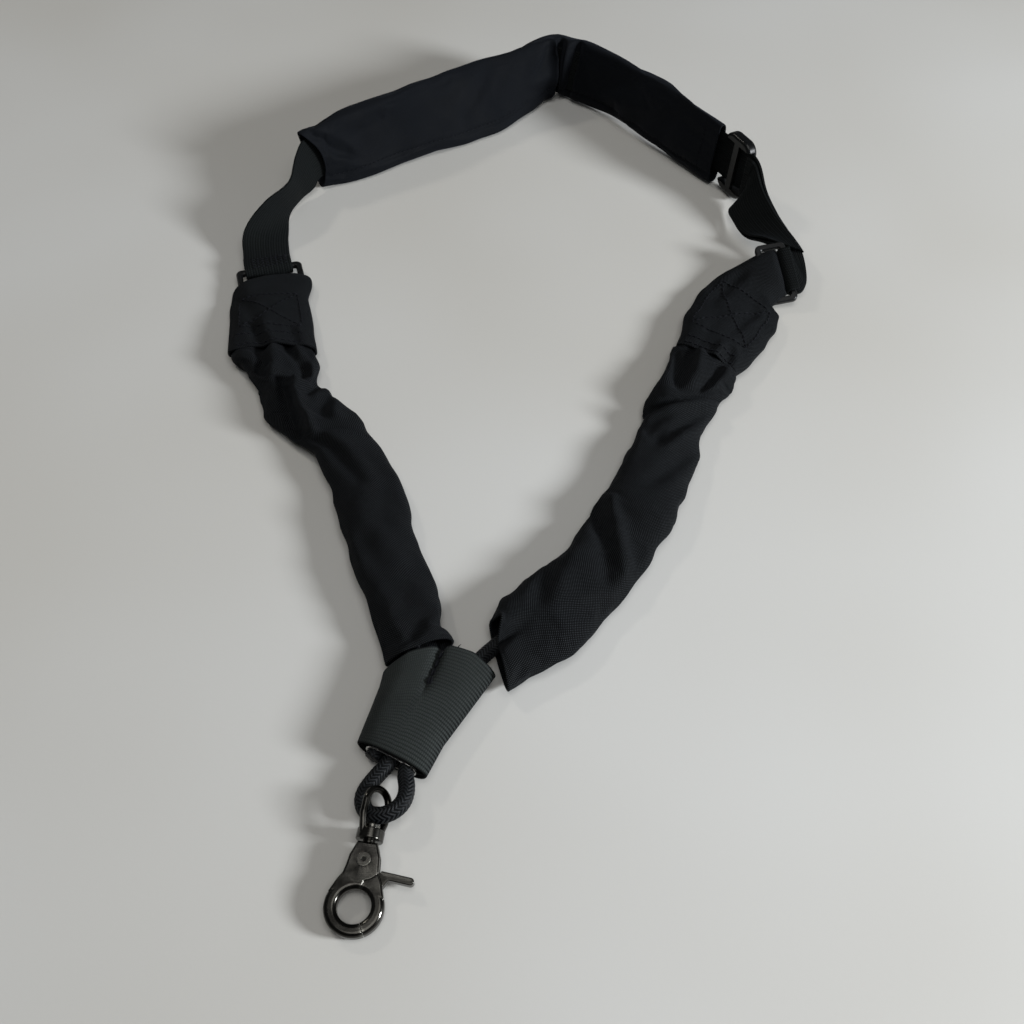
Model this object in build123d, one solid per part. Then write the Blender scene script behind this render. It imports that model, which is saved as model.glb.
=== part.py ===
from build123d import *
import math
import os

# Saxophone neck strap, laid out on a flat surface as a closed loop with its snap hook towards -Y.
# Units are millimetres, +Z is up, and every soft run is described by the two edges it lies between.

# ---- driving dimensions -------------------------------------------------------------------------
WEBBING_WIDTH = 25.0
WEBBING_THICK = 1.6
CORD_DIAMETER = 6.5
COVER_WALL = 0.9          # fabric of the neck pad's tube
SLEEVE_WALL = 1.0         # fabric of the two cord sleeves
TAB_WALL = 1.2            # folded fabric of the two tabs
YOKE_WALL = 1.2
FOAM_THICK = 1.8
FOAM_LIFT = 1.9           # the foam's middle, from the webbing's
RETURN_LIFT = 2.6         # the returning webbing layer, from the first
RETURN_THICK = 1.4
YOKE_HEIGHT = 12.0
YOKE_MID_Z = 6.8
RING_LENGTH = 35.0        # both rectangular rings, outside
RING_BAR = 3.2
RING_THICK = 3.0
LEFT_RING_DEPTH = 14.0
RIGHT_RING_DEPTH = 16.0
SNAP_RING_R = 11.0
SNAP_HOLE_R = 6.2
SNAP_THICK = 5.4
SNAP_RING_ROUNDING = 1.7
RIM_RADIUS = 0.9
PIVOT_Y = 16.9            # rivet centre, from the centre of the snap's ring
CHEEK_R = 7.6             # the cheeks end on an arc about the rivet
TONGUE_THICK = 2.0
SLOT_THICK = 2.3
JAW_GAP = 0.25
LEVER_THICK = 3.2
RIVET_R = 1.5
SHANK_R = 2.25
SHANK_BORE_R = 2.34
EYE_BAR_R = 1.4
EYE_HALF_WIDTH = 5.6      # centre line of the eye's two bars
EYE_TILT = 50.0           # how far the eye is rolled about the shank
SLIDER_LENGTH = 36.0
SLIDER_DEPTH = 22.0
SLIDER_BACK = 3.2         # from the webbing's middle to the back of the outer bars
SLIDER_FRONT = 3.4        # and to the front of the centre bar
SLIDER_CORNER = 7.0
SLIDER_ROUNDING = 2.0
SLIDER_WINDOW = 27.5
SLIDER_SLOTS = 15.0       # both slots and the centre bar together
OUTER_BAR_TOP = -0.9
CENTRE_BAR_WIDE = 4.0
CENTRE_BAR_THICK = 2.3
WRAP_INNER_R = 2.3        # webbing's turn round a ring's bar
CLEAR = 0.3               # gap between pieces that only lie against each other
UP = (0, 0, 1)


# ---- stations: (left edge, right edge, thickness) ------------------------------------------------
NECK_PAD = [
    ((-108, 165, 2.5), (-117, 168, 35), 9),
    ((-91, 171, 2.5), (-98, 184, 38), 9),
    ((-57, 190, 2.5), (-65, 203, 38), 10),
    ((-22, 209, 2.5), (-32, 228, 36), 10),
    ((-4, 220, 2.5), (-14, 241, 36), 10),
    ((13, 238, 2.5), (7, 250, 38), 10),
    ((29, 258, 2.5), (27, 260, 39), 12),
    ((41, 248, 2.5), (42, 257, 38), 10),
    ((54, 239, 2.5), (55, 246, 39), 9),
    ((78, 217, 2.5), (79, 222, 39), 9),
    ((98, 192, 2.5), (100, 196, 39), 9),
    ((117, 170, 2.5), (119, 172, 38), 9),
]
LEFT_WEBBING = [
    ((-117.5, 98.5, 5.5), (-142.5, 96, 6.5)),
    ((-122, 120, 2), (-143, 113, 12)),
    ((-123.5, 138, 2), (-132, 126, 21)),
    ((-118, 153, 2.5), (-120, 141, 24)),
    ((-111, 161, 4.5), (-118, 158, 28)),
]
SLIDER_CENTRE = (127.5, 160.5, 19.5)
SLIDER_ALONG = (0.5, -0.866, 0)
SLIDER_UP = (0.07, 0.04, 0.997)
RIGHT_WEBBING = [
    ((125, 142, 2.5), (140.5, 140, 22)),
    ((125, 130, 2.5), (145.5, 124, 17)),
    ((128.5, 118, 4), (151, 111, 13.5)),
    ((137, 106, 10), (155.5, 94, 10.5)),
]
LEFT_TAB = [
    ((-139.5, 79.9, 4.1), (-113.5, 86.9, 4.1), 7.6),
    ((-142.3, 72.6, 4.1), (-107.5, 82, 4.1), 7.6),
    ((-144.5, 62, 4.2), (-104.5, 66, 4.2), 7.8),
    ((-143, 44, 5.2), (-99.5, 44, 5.2), 10),
    ((-140, 24, 6.2), (-96.2, 26, 6.2), 12),
]
LEFT_SLEEVE = [
    ((-138, 22.5, 6), (-96, 24.5, 6), 11),
    ((-129, 9, 6), (-91, 4, 6), 12),
    ((-122, -3, 6), (-83, -8, 6), 12),
    ((-113, -16, 6), (-72, -19, 6), 11.5),
    ((-104, -31, 6), (-67, -31, 6), 11.5),
    ((-92, -43, 6), (-58, -47, 6), 11),
    ((-84, -62, 6), (-49.5, -65, 6), 11),
    ((-72, -96, 6), (-40, -98, 6), 11),
    ((-62, -125, 6), (-30, -124, 6), 11),
    ((-50.5, -155.5, 6.2), (-22.5, -144, 6.2), 11.5),
]
RIGHT_TAB = [
    ((140.2, 92.9, 14.3), (144.2, 68.2, 5.7), 7.6),
    ((127, 91, 10.4), (136.5, 60, 4.3), 7.6),
    ((113, 84, 6), (139.5, 53, 4.6), 7.6),
    ((101, 73, 5), (136, 43, 5), 8),
    ((93, 57, 5.4), (128.5, 30, 5.4), 10),
    ((83.5, 30, 6.2), (112, 9, 6.2), 12),
]
RIGHT_SLEEVE = [
    ((82.6, 28.5, 6), (111, 7.7, 6), 11),
    ((72, 7, 6), (107, -3, 6), 12),
    ((65, -6, 6), (99.5, -16, 6), 12),
    ((62, -22, 6), (90, -32, 6), 12),
    ((54, -41, 6), (87, -50, 6), 12),
    ((41.5, -65, 6.2), (75, -81, 6.2), 12),
    ((29.5, -87, 6.2), (63, -101, 6.2), 12),
    ((19, -102.5, 6.2), (51, -118, 6.2), 12),
    ((8, -112, 6.5), (38.5, -135, 6.2), 12),
    ((-2, -124, 7.5), (25.5, -149.5, 6.2), 12.5),
    ((-8, -137, 8), (0, -166.5, 6.2), 12.5),
]
YOKE_OUTLINE = [
    (-49.5, -159.5), (-39, -153), (-28.5, -150.2), (-26, -153), (-23.5, -150.5), (-14, -153.5),
    (-6, -160), (-15, -174), (-26, -191), (-32, -204), (-57.5, -190.5), (-53, -175), (-50.5, -166),
]
YOKE_LEFT_DOOR = [(-47, -166), (-29.5, -158), (-24, -142), (-52, -150)]
YOKE_RIGHT_DOOR = [(-23.5, -158), (-12, -165), (2, -152), (-18, -141)]
CRIMP_CENTRE = (-44.75, -197.25, 6.8)
CRIMP_ALONG = (-0.468, -0.884, 0)   # the way the cords leave the yoke
CORD_PITCH = 7.0                    # spacing of the three cords in the crimp
CRIMP_LENGTH = 7.8
CRIMP_SHOWS = 0.9                   # how far it stands out of the yoke

SNAP_CENTRE = (-55.0, -253.8, 3.75)
SNAP_TURN = 9.0                     # the snap's axis, clockwise from +Y
SNAP_PITCH = 5.0                    # its swivel end is lifted by this much

# Cord routes: points in order, then the cord runs straight between rounded corners.
LEFT_CORD = [
    (-118, 34, 5.9), (-114.5, 18, 6.1), (-103, -5, 6), (-87, -30, 6), (-70, -55, 6), (-58, -90, 6),
    (-47, -122, 6), (-38, -148, 6.4), (-41, -168, 6.8), (-46.6, -185.7, 6.8), (-52.4, -196.7, 6.8),
]
RIGHT_CORD = [
    (101.5, 32, 5.9), (93, 11, 6.1), (82, -11, 6), (74, -34, 6), (60, -68, 6.2), (46, -93, 6.2),
    (24, -123, 6.4), (5, -137, 6.8), (-13, -153.5, 6.8), (-26, -173, 6.8), (-34.4, -192.5, 6.8),
    (-39.7, -202.6, 6.9),
]
# The loop below the yoke, in the snap's own frame: across, along the shank, up from the ring's centre.
CORD_LOOP = [(10.2, 46, 0.2), (9.6, 38.8, 1.6), (3.8, 34.0, 1.2), (-3.8, 34.6, -1.6), (-7.4, 41.5, -2.6),
             (-3, 50.2, -1.8)]
LOOP_TAIL = [(-45.9, -199.5, 6.8), (-39.3, -187, 6.8)]


# ---- helpers ---------------------------------------------------------------------------------------
def edge_planes(stations):
    """One plane per station: X runs across it, Z along the run."""
    mids = [(Vector(*s[0]) + Vector(*s[1])) * 0.5 for s in stations]
    planes = []
    for i, station in enumerate(stations):
        across = (Vector(*station[1]) - Vector(*station[0])).normalized()
        along = mids[min(i + 1, len(mids) - 1)] - mids[max(i - 1, 0)]
        along = (along - across * along.dot(across)).normalized()
        planes.append(Plane(origin=mids[i], x_dir=across, z_dir=along))
    return planes


def edge_width(station):
    return (Vector(*station[1]) - Vector(*station[0])).length


def flat_tube(stations, shrink=0.0, past=(0.0, 0.0)):
    """A flattened tube through the stations, smaller by shrink all round, longer by past at its two ends."""
    sections = []
    planes = edge_planes(stations)
    for i, (plane, station) in enumerate(zip(planes, stations)):
        shift = -past[0] if i == 0 else past[1] if i == len(stations) - 1 else 0.0
        width, thick = edge_width(station) - 2 * shrink, station[2] - 2 * shrink
        sections.append(plane.offset(shift) * SlotOverall(width, thick))
    return loft(sections, ruled=True)


def hollow_tube(stations, wall):
    return flat_tube(stations) - flat_tube(stations, wall, (0.5, 0.5))


def strip(stations, thick=WEBBING_THICK, width=None, lift=0.0):
    """A flat strip through the stations, shifted sideways out of its plane by lift."""
    sections = []
    for plane, station in zip(edge_planes(stations), stations):
        wide = width or edge_width(station)
        sections.append(plane * Pos(0, lift, 0) * Rectangle(wide, thick))
    return loft(sections, ruled=True)


def narrowed(station, width):
    """The same station with its edges brought in to the given width."""
    left, right = Vector(*station[0]), Vector(*station[1])
    mid, half = (left + right) * 0.5, (right - left).normalized() * (width / 2)
    return tuple(mid - half), tuple(mid + half)


def corner_radii(points):
    """The largest arc that each pair of runs leaves room for."""
    radii = []
    for before, here, after in zip(points, points[1:], points[2:]):
        run_in, run_out = Vector(*here) - Vector(*before), Vector(*after) - Vector(*here)
        turn = math.radians(run_in.get_angle(run_out))
        radii.append(0.45 * min(run_in.length, run_out.length) / math.tan(turn / 2))
    return radii


def cord(points, name):
    radii = corner_radii(points)
    path = FilletPolyline(*points, radius=radii)
    start = Plane(origin=path @ 0, z_dir=path % 0)
    solid = sweep(start * Circle(CORD_DIAMETER / 2), path=path)
    expected = path.length * math.pi * (CORD_DIAMETER / 2) ** 2
    print(name, "length", round(path.length, 1), "radii", [round(r, 1) for r in radii])
    print(name, "volume ratio", round(solid.volume / expected, 4))
    return solid


def beam(start, end, width=0.8, height=0.5):
    """One straight row of stitches."""
    run = Vector(*end) - Vector(*start)
    plane = Plane(origin=Vector(*start), z_dir=run.normalized())
    return plane * Pos(0, 0, run.length / 2) * Box(width, height, run.length)


def on_surface(stations, across, along, lift):
    """A point above a tube's upper side: across is -1 to 1, along counts stations."""
    i = min(int(along), len(stations) - 2)
    part = along - i
    a, b = stations[i], stations[i + 1]
    left = Vector(*a[0]) * (1 - part) + Vector(*b[0]) * part
    right = Vector(*a[1]) * (1 - part) + Vector(*b[1]) * part
    thick = a[2] * (1 - part) + b[2] * part
    point = (left + right) * 0.5 + (right - left) * (0.5 * across)
    return tuple(point + Vector(0, 0, thick / 2 + lift))


def thick_plate(sketch, thickness):
    return extrude(sketch, thickness / 2, both=True)


# ---- frames ----------------------------------------------------------------------------------------
def snap_frame():
    return Plane(Pos(*SNAP_CENTRE) * Rot(0, 0, -SNAP_TURN) * Rot(SNAP_PITCH, 0, 0))


def left_ring_frame():
    """X across the strap, Y from the webbing's bar to the tab's bar."""
    turn = math.radians(15)
    across = Vector(-math.cos(turn), -math.sin(turn), 0)
    return Plane(origin=(-127, 85.2, 4.1), x_dir=across, z_dir=(0, 0, 1))


def right_ring_frame():
    """X along the bars towards the near end, Y from the webbing's bar to the tab's bar."""
    long_way = Vector(0.15, -0.93, -0.33).normalized()
    short_way = Vector(-0.95, -0.22, -0.2)
    normal = long_way.cross(short_way).normalized()
    return Plane(origin=(140.4, 80.7, 9.6), x_dir=long_way, z_dir=normal)


def slider_frame():
    along, up = Vector(*SLIDER_ALONG), Vector(*SLIDER_UP)
    return Plane(origin=SLIDER_CENTRE, x_dir=up - along * up.dot(along), z_dir=along)


def world(frame, x, y, z):
    return tuple(frame.from_local_coords(Vector(x, y, z)))


# ---- rings, slider and webbing ------------------------------------------------------------------------
def rectangular_ring(frame, depth):
    outer = RectangleRounded(RING_LENGTH, depth, 3.0)
    inner = RectangleRounded(RING_LENGTH - 2 * RING_BAR, depth - 2 * RING_BAR, 1.0)
    ring = extrude(outer - inner, RING_THICK / 2, both=True)
    ring = chamfer(ring.edges().group_by(Axis.Z)[-1] + ring.edges().group_by(Axis.Z)[0], 0.6)
    return frame * ring


def webbing_wrap(frame, depth, top_run, tail_run):
    """Webbing folded round the ring's first bar: a run on top, half a turn, and a tail below."""
    bar_y = -(depth - RING_BAR) / 2
    outer_r = WRAP_INNER_R + WEBBING_THICK
    turn = Circle(outer_r) - Circle(WRAP_INNER_R)
    turn &= Pos(outer_r / 2, 0) * Rectangle(outer_r, 2 * outer_r)
    mid_r = (WRAP_INNER_R + outer_r) / 2
    top = Pos(-top_run / 2, mid_r) * Rectangle(top_run, WEBBING_THICK)
    tail = Pos(-tail_run / 2, -mid_r) * Rectangle(tail_run, WEBBING_THICK)
    side = Plane(origin=(0, bar_y, 0), x_dir=(0, 1, 0), z_dir=(1, 0, 0))
    fold = extrude(side * (turn + top + tail), WEBBING_WIDTH / 2, both=True)
    return frame * fold


def ring_station(frame, depth, run, side):
    """Where the strip meets the wrap: side is +1 on top of the bar and -1 below it."""
    half, y = WEBBING_WIDTH / 2, -(depth - RING_BAR) / 2 - run
    z = side * (WRAP_INNER_R + WEBBING_THICK / 2)
    return world(frame, half, y, z), world(frame, -half, y, z)


def slider_station(offset):
    frame, half = slider_frame(), WEBBING_WIDTH / 2
    return world(frame, -half, 0, offset), world(frame, half, 0, offset)


def right_run():
    """Stations of the single strip from the slider to the right ring."""
    left, right = ring_station(right_ring_frame(), RIGHT_RING_DEPTH, 3.0, 1)
    return [slider_station(-11), slider_station(0), slider_station(15)] + RIGHT_WEBBING + [(right, left)]


def neck_webbing():
    left_frame = left_ring_frame()
    left, right = ring_station(left_frame, LEFT_RING_DEPTH, 4.0, 1)
    pad_run = [narrowed(station, WEBBING_WIDTH) for station in NECK_PAD]
    stations = [(right, left)] + LEFT_WEBBING + pad_run[:-1] + right_run()
    fold_left = webbing_wrap(left_frame, LEFT_RING_DEPTH, 4.2, 15)
    fold_right = webbing_wrap(right_ring_frame(), RIGHT_RING_DEPTH, 3.2, 3.2)
    return strip(stations, width=WEBBING_WIDTH) + fold_left + fold_right


def webbing_return():
    """The strip's way back from the ring to the slider's centre bar, just outside the first layer."""
    run = [slider_station(10)] + right_run()[2:-1]
    return strip(run, thick=RETURN_THICK, width=WEBBING_WIDTH - 1, lift=RETURN_LIFT)


def slider():
    """Two end rails, joined by outer bars at the back and a centre bar at the front."""
    body = extrude(RectangleRounded(SLIDER_LENGTH, SLIDER_DEPTH, SLIDER_CORNER), SLIDER_BACK + SLIDER_FRONT)
    for group in (-1, 0):
        body = fillet(body.edges().group_by(Axis.Z)[group], SLIDER_ROUNDING)
    body = Pos(0, 0, -SLIDER_BACK) * body
    body -= Box(SLIDER_WINDOW, SLIDER_SLOTS, 4 * SLIDER_FRONT)
    from_below = (Align.CENTER, Align.CENTER, Align.MIN)
    body -= Pos(0, 0, OUTER_BAR_TOP) * Box(SLIDER_WINDOW, 2 * SLIDER_DEPTH, 2 * SLIDER_FRONT, align=from_below)
    bar = Box(SLIDER_WINDOW + 1.5, CENTRE_BAR_WIDE, CENTRE_BAR_THICK)
    body += Pos(0, 0, SLIDER_FRONT - CENTRE_BAR_THICK / 2) * bar
    frame = slider_frame()
    flat = Plane(origin=frame.origin, x_dir=frame.x_dir, z_dir=frame.z_dir.cross(frame.x_dir))
    return flat * body


def stitched_patch(frame, depth, at, z, rows=4):
    """Rows of stitches across the folded webbing."""
    bar_y = -(depth - RING_BAR) / 2
    shapes = []
    for row in range(rows):
        y = bar_y - at - 1.6 * row
        shapes.append(frame * Pos(0, y, z) * Box(WEBBING_WIDTH - 4, 0.6, 0.5))
    return Compound(children=shapes)


# ---- neck pad -----------------------------------------------------------------------------------------
def neck_pad_foam():
    inner = NECK_PAD[1:-1]
    return strip(inner, thick=FOAM_THICK, width=30.0, lift=-FOAM_LIFT)


# ---- tabs, sleeves and yoke -----------------------------------------------------------------------------
def tab(stations, frame, depth):
    """A folded fabric tab: closed round the ring's second bar and open towards the sleeve."""
    cavity = flat_tube(stations, TAB_WALL, (-TAB_WALL, 0.5))
    channel = RectangleRounded(RING_LENGTH + 2 * CLEAR, depth + 2 * CLEAR, 3.2)
    channel -= RectangleRounded(RING_LENGTH - 2 * RING_BAR - 2 * CLEAR, depth - 2 * RING_BAR - 2 * CLEAR, 0.8)
    return flat_tube(stations) - cavity - frame * thick_plate(channel, RING_THICK + 2 * CLEAR)


def tab_stitching(stations, first, last):
    """A box with a cross in it, and two rows over the tab's lower end."""
    corners = [on_surface(stations, u, v, CLEAR + 0.35) for u, v in
               ((-0.72, first), (0.72, first), (0.72, last), (-0.72, last))]
    pairs = [(0, 1), (1, 2), (2, 3), (3, 0), (0, 2)]
    rows = [beam(corners[a], corners[b]) for a, b in pairs]
    rows.append(beam(on_surface(stations, -0.75, last + 0.3, 0.9), on_surface(stations, 0.75, last + 0.3, 0.9)))
    return Part() + rows


def bungee_clamp(points):
    """A rolled metal sleeve on the cord's end."""
    start, end = Vector(*points[0]), Vector(*points[1])
    along = (end - start).normalized()
    plane = Plane(origin=start + along * 2.0, z_dir=along)
    return plane * extrude(Circle(CORD_DIAMETER / 2 + 0.9) - Circle(CORD_DIAMETER / 2 + 0.1), 6.0)


def yoke_sleeve():
    base = YOKE_MID_Z - YOKE_HEIGHT / 2
    door_height = YOKE_HEIGHT - 2 * YOKE_WALL
    outline = Polygon(*YOKE_OUTLINE, align=None)
    body = Pos(0, 0, base) * extrude(outline, YOKE_HEIGHT, dir=UP)
    rims = body.edges().group_by(Axis.Z)
    body = fillet(rims[-1] + rims[0], 2.0)
    inner = offset(outline, -YOKE_WALL, kind=Kind.INTERSECTION)
    hollow = Pos(0, 0, base + YOKE_WALL) * extrude(inner, door_height, dir=UP)
    doors = [Pos(0, 0, base + YOKE_WALL) * extrude(Polygon(*points, align=None), door_height, dir=UP)
             for points in (YOKE_LEFT_DOOR, YOKE_RIGHT_DOOR)]
    mouth = crimp_frame() * Pos(0, 0, 2) * Box(27, door_height, 10)
    body -= hollow
    for opening in doors:
        body -= opening
    return body - mouth


def yoke_stitching():
    """The seam that draws the yoke's two lobes apart."""
    top = YOKE_MID_Z + YOKE_HEIGHT / 2 + CLEAR
    return beam((-26.5, -156, top), (-31, -166, top)) + beam((-31, -166, top), (-30.2, -170, top))


def crimp_frame():
    along = Vector(*CRIMP_ALONG)
    return Plane(origin=CRIMP_CENTRE, x_dir=(0.884, -0.468, 0), z_dir=along)


def yoke_crimp():
    width = 2 * CORD_PITCH + CORD_DIAMETER + 0.4
    outer = SlotOverall(width + 1.6, CORD_DIAMETER + 2.0)
    inner = SlotOverall(width, CORD_DIAMETER + 0.4)
    return crimp_frame() * Pos(0, 0, CRIMP_SHOWS - CRIMP_LENGTH) * extrude(outer - inner, CRIMP_LENGTH)


def right_cord_route():
    frame = snap_frame()
    return RIGHT_CORD + [world(frame, *point) for point in CORD_LOOP] + LOOP_TAIL


# ---- swivel eye and trigger snap --------------------------------------------------------------------------
def swivel_eye():
    frame = snap_frame() * Rot(0, EYE_TILT, 0)
    low, high = EYE_HALF_WIDTH - 1.7, EYE_HALF_WIDTH
    points = [(-low, 26.4), (-high, 33.2), (-high, 44.2), (high, 44.2), (high, 33.2), (low, 26.4)]
    path = FilletPolyline(*points, radius=[6, high - 0.05, high - 0.05, 6])
    start = Plane(origin=path @ 0, z_dir=path % 0)
    ring = sweep(start * Circle(EYE_BAR_R), path=path)
    lengthwise = Plane(origin=(0, 24.3, 0), z_dir=(0, 1, 0))
    collar = lengthwise * Cylinder(5.2, 4.2, align=(Align.CENTER, Align.CENTER, Align.MIN))
    collar = fillet(collar.edges(), 0.5)
    bore = lengthwise * Pos(0, 0, -1) * Cylinder(SHANK_BORE_R, 9, align=(Align.CENTER, Align.CENTER, Align.MIN))
    floor_cut = lengthwise * Pos(0, 0, 4.25) * Cylinder(3.25, 6, align=(Align.CENTER, Align.CENTER, Align.MIN))
    return frame * (ring + collar - bore - floor_cut)


def snap_body():
    """The flat part that tapers from the ring up to the neck."""
    left = [(-10.3, 3.8), (-8.6, 8.0), (-6.6, 11.5), (-6.0, 15.0), (-5.7, 18.0), (-3.8, 23.4)]
    right = [(3.8, 23.4), (5.7, 18.5), (6.2, 15.0), (6.6, 12.4), (8.2, 9.5), (10.3, 3.8)]
    body = thick_plate(Polygon(*left, *right, align=None), SNAP_THICK)
    for group in (-1, 0):
        body = fillet(body.edges().group_by(Axis.Z)[group], RIM_RADIUS)
    return body - Cylinder((SNAP_RING_R + SNAP_HOLE_R) / 2, 2 * SNAP_THICK)


def snap_ring():
    section = RectangleRounded(SNAP_RING_R - SNAP_HOLE_R, SNAP_THICK, SNAP_RING_ROUNDING)
    return revolve(Plane.XZ * Pos((SNAP_RING_R + SNAP_HOLE_R) / 2, 0) * section, Axis.Z)


def jaw_wedge(gap):
    """The side of the ring that opens, between the joint at the top and the joint at the bottom."""
    top, bottom, far = math.radians(80), math.radians(-60), 40
    shift = (gap * math.sin(top), -gap * math.cos(top))
    points = [(0, 0), (far * math.cos(top), far * math.sin(top)), (far, far),
              (far, -far), (far * math.cos(bottom), far * math.sin(bottom))]
    return Pos(*shift) * Polygon(*points, align=None)


def rounded_plate():
    """The whole snap, before it is parted into hook and trigger."""
    return snap_ring() + snap_body()


def hook_body():
    pivot = Pos(0, PIVOT_Y)
    opening_side = jaw_wedge(0) - pivot * Circle(CHEEK_R)
    body = rounded_plate() - thick_plate(opening_side, 2 * SNAP_THICK)
    slot = Pos(2.9, 15.65) * Rectangle(12.8, 13.3) & pivot * Circle(CHEEK_R + 1.2)
    body -= thick_plate(slot, SLOT_THICK)
    body -= pivot * Cylinder(RIVET_R + 0.02, 12)
    for side in (-1, 1):
        body -= Pos(0, PIVOT_Y, side * (SNAP_THICK / 2)) * Cylinder(2.7, 0.6)
    lengthwise = Plane(origin=(0, 23.2, 0), z_dir=(0, 1, 0))
    shank = lengthwise * Cylinder(SHANK_R, 6.9, align=(Align.CENTER, Align.CENTER, Align.MIN))
    head = lengthwise * Pos(0, 0, 5.75) * Cylinder(3.0, 1.3, align=(Align.CENTER, Align.CENTER, Align.MIN))
    return snap_frame() * (body + shank + head)


def trigger():
    pivot = Pos(0, PIVOT_Y)
    cheek_arc = pivot * Cylinder(CHEEK_R + CLEAR, 12)
    jaw = rounded_plate() & thick_plate(jaw_wedge(JAW_GAP), 2 * SNAP_THICK)
    bar = Pos(12.6, 12.15) * Rot(0, 0, -4) * SlotOverall(14, 2.8)
    root = Polygon((6.0, 12.2), (10.4, 11.2), (8.4, 7.6), align=None)
    lever = fillet(thick_plate(bar + root, LEVER_THICK).edges().group_by(Axis.Z)[-1], 0.5)
    arm = Polygon((-2.4, 14.4), (2.1, 8.9), (7.6, 11.6), (3.6, 18), align=None)
    heel = Pos(1.25, 20.0) * Rectangle(2.2, 3.0)
    tongue = pivot * Circle(3.0) + (arm & pivot * Circle(CHEEK_R + 0.8)) + heel
    whole = jaw + lever - cheek_arc + thick_plate(tongue, TONGUE_THICK)
    return snap_frame() * (whole - pivot * Cylinder(RIVET_R + 0.08, 12))


def rivet():
    shaft = Cylinder(RIVET_R, SNAP_THICK)
    heads = [Pos(0, 0, side * (SNAP_THICK / 2 - 0.05)) * (Cylinder(2.6, 0.45) - Cylinder(0.9, 2)) for side in (-1, 1)]
    return snap_frame() * Pos(0, PIVOT_Y, 0) * (shaft + heads)


def trigger_spring():
    """A small coil between the body and the trigger's heel."""
    helix = Helix(pitch=0.7, height=3.0, radius=0.72)
    start = Plane(origin=helix @ 0, z_dir=helix % 0)
    coil = sweep(start * Circle(0.16), path=helix)
    return snap_frame() * Pos(-3.1, 20.9, 0) * Rot(0, 90, 0) * coil


def build_parts():
    left_frame, right_frame = left_ring_frame(), right_ring_frame()
    return {
        "neck_pad_cover": hollow_tube(NECK_PAD, COVER_WALL),
        "neck_pad_foam": neck_pad_foam(),
        "neck_webbing": neck_webbing(),
        "webbing_return": webbing_return(),
        "webbing_fold_stitching": stitched_patch(left_frame, LEFT_RING_DEPTH, 6.5, -1.9),
        "slider": slider(),
        "left_ring": rectangular_ring(left_frame, LEFT_RING_DEPTH),
        "right_ring": rectangular_ring(right_frame, RIGHT_RING_DEPTH),
        "left_tab": tab(LEFT_TAB, left_frame, LEFT_RING_DEPTH),
        "right_tab": tab(RIGHT_TAB, right_frame, RIGHT_RING_DEPTH),
        "left_tab_stitching": tab_stitching(LEFT_TAB, 1.4, 3.3),
        "right_tab_stitching": tab_stitching(RIGHT_TAB, 1.9, 4.1),
        "left_sleeve": hollow_tube(LEFT_SLEEVE, SLEEVE_WALL),
        "right_sleeve": hollow_tube(RIGHT_SLEEVE, SLEEVE_WALL),
        "left_bungee_clamp": bungee_clamp(LEFT_CORD),
        "right_bungee_clamp": bungee_clamp(RIGHT_CORD),
        "bungee_left": cord(LEFT_CORD, "bungee_left"),
        "bungee_right": cord(right_cord_route(), "bungee_right"),
        "yoke_sleeve": yoke_sleeve(),
        "yoke_stitching": yoke_stitching(),
        "yoke_crimp": yoke_crimp(),
        "swivel_eye": swivel_eye(),
        "hook_body": hook_body(),
        "trigger": trigger(),
        "rivet": rivet(),
        "trigger_spring": trigger_spring(),
    }


def centred(shapes):
    """Put the middle of the whole strap's footprint at the origin, resting on z = 0."""
    boxes = [shape.bounding_box() for shape in shapes.values()]
    low_x, high_x = min(box.min.X for box in boxes), max(box.max.X for box in boxes)
    low_y, high_y = min(box.min.Y for box in boxes), max(box.max.Y for box in boxes)
    shift = (-(low_x + high_x) / 2, -(low_y + high_y) / 2, -min(box.min.Z for box in boxes))
    print("shift to row frame", [round(c, 4) for c in shift])
    return {name: Pos(*shift) * shape for name, shape in shapes.items()}


os.makedirs("parts", exist_ok=True)
for node, solid in centred(build_parts()).items():
    export_step(solid, f"parts/{node}.step")
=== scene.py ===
import math
from dataclasses import dataclass

import bmesh
import bpy
import numpy as np
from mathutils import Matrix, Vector, noise
from mathutils.bvhtree import BVHTree


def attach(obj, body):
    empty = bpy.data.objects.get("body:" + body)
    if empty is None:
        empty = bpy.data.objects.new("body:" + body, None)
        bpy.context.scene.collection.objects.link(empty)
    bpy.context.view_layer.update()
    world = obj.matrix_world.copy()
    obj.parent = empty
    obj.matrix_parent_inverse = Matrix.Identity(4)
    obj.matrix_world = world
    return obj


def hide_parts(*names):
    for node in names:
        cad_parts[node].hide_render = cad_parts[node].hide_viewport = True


# Looks of a saxophone neck strap laid flat as a loop. Stations and routes are in the strap's own layout, in
# millimetres, as in the CAD; layout() turns them into the row frame's metres.

MM = 0.001
LAYOUT_SHIFT = np.array([-5.8657, -0.3049, 0.0])

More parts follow.
